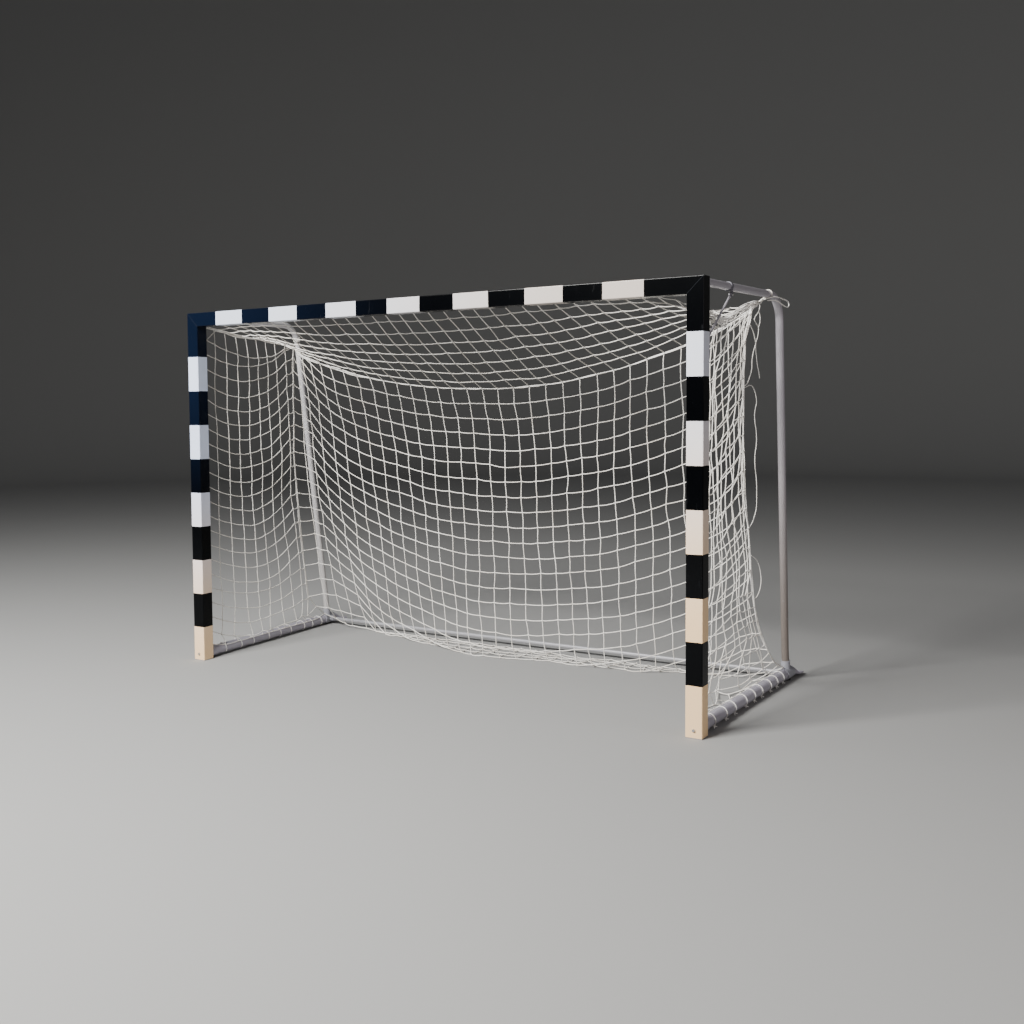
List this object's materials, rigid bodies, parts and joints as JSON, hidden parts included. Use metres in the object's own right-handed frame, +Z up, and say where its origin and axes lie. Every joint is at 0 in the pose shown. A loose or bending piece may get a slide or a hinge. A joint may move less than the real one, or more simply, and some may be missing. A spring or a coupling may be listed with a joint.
{
  "type": "handball goal",
  "caption": "Full-size indoor handball goal: striped square mouth frame on floor rails, with bent tube net bows, a brace and a slack knotted net.",
  "frame": {"origin": "on the floor under the middle of the goal's overall box", "axes": "+X along the crossbar to the right seen from the pitch, +Y to the rear, +Z up; the mouth faces -Y"},
  "size_m": [3.2776, 1.4976, 2.085],
  "materials": {
    "striped_paint": "gloss paint on aluminium, near-black and off-white bands 200 mm long",
    "net_cord": "cream twisted cord",
    "clip_plastic": "moulded nylon",
    "cap_plastic": "moulded end cap",
    "rubber": "black rubber",
    "steel": "zinc-plated steel",
    "casting": "cast aluminium",
    "rail_grey": "grey-mauve powder coat on tube",
    "silver_tube": "light grey coated tube"
  },
  "bodies": {
    "root": {"back_net": "net_cord", "crossbar": "striped_paint", "left_arm_flange": "silver_tube", "left_bar_clip_1": "clip_plastic", "left_bar_clip_2": "clip_plastic", "left_bar_clip_3": "clip_plastic", "left_bow_tie": "net_cord", "left_corner_joint": "casting", "left_corner_tee": "rail_grey", "left_flange_screw_a": "steel", "left_flange_screw_b": "steel", "left_floor_rail": "rail_grey", "left_foot_bolt": "steel", "left_foot_cap": "cap_plastic", "left_lacing": "net_cord", "left_net_bow": "silver_tube", "left_post": "striped_paint", "left_post_clip_1": "clip_plastic", "left_post_clip_2": "clip_plastic", "left_post_clip_3": "clip_plastic", "left_rail_socket": "rail_grey", "left_rubber_foot": "rubber", "left_side_net": "net_cord", "rear_tube": "silver_tube", "right_arm_flange": "silver_tube", "right_bar_clip_1": "clip_plastic", "right_bar_clip_2": "clip_plastic", "right_bar_clip_3": "clip_plastic", "right_bow_tie": "net_cord", "right_corner_joint": "casting", "right_corner_tee": "rail_grey", "right_flange_screw_a": "steel", "right_flange_screw_b": "steel", "right_floor_rail": "rail_grey", "right_foot_bolt": "steel", "right_foot_cap": "cap_plastic", "right_lacing": "net_cord", "right_lug_screw": "steel", "right_net_bow": "silver_tube", "right_post": "striped_paint", "right_post_clip_1": "clip_plastic", "right_post_clip_2": "clip_plastic", "right_post_clip_3": "clip_plastic", "right_rail_socket": "rail_grey", "right_rubber_foot": "rubber", "right_side_net": "net_cord", "right_strut": "silver_tube", "right_strut_bolt_lower": "steel", "right_strut_bolt_upper": "steel", "right_strut_clamp": "silver_tube", "right_strut_lug": "silver_tube", "top_net": "net_cord"}
  },
  "joints": []
}
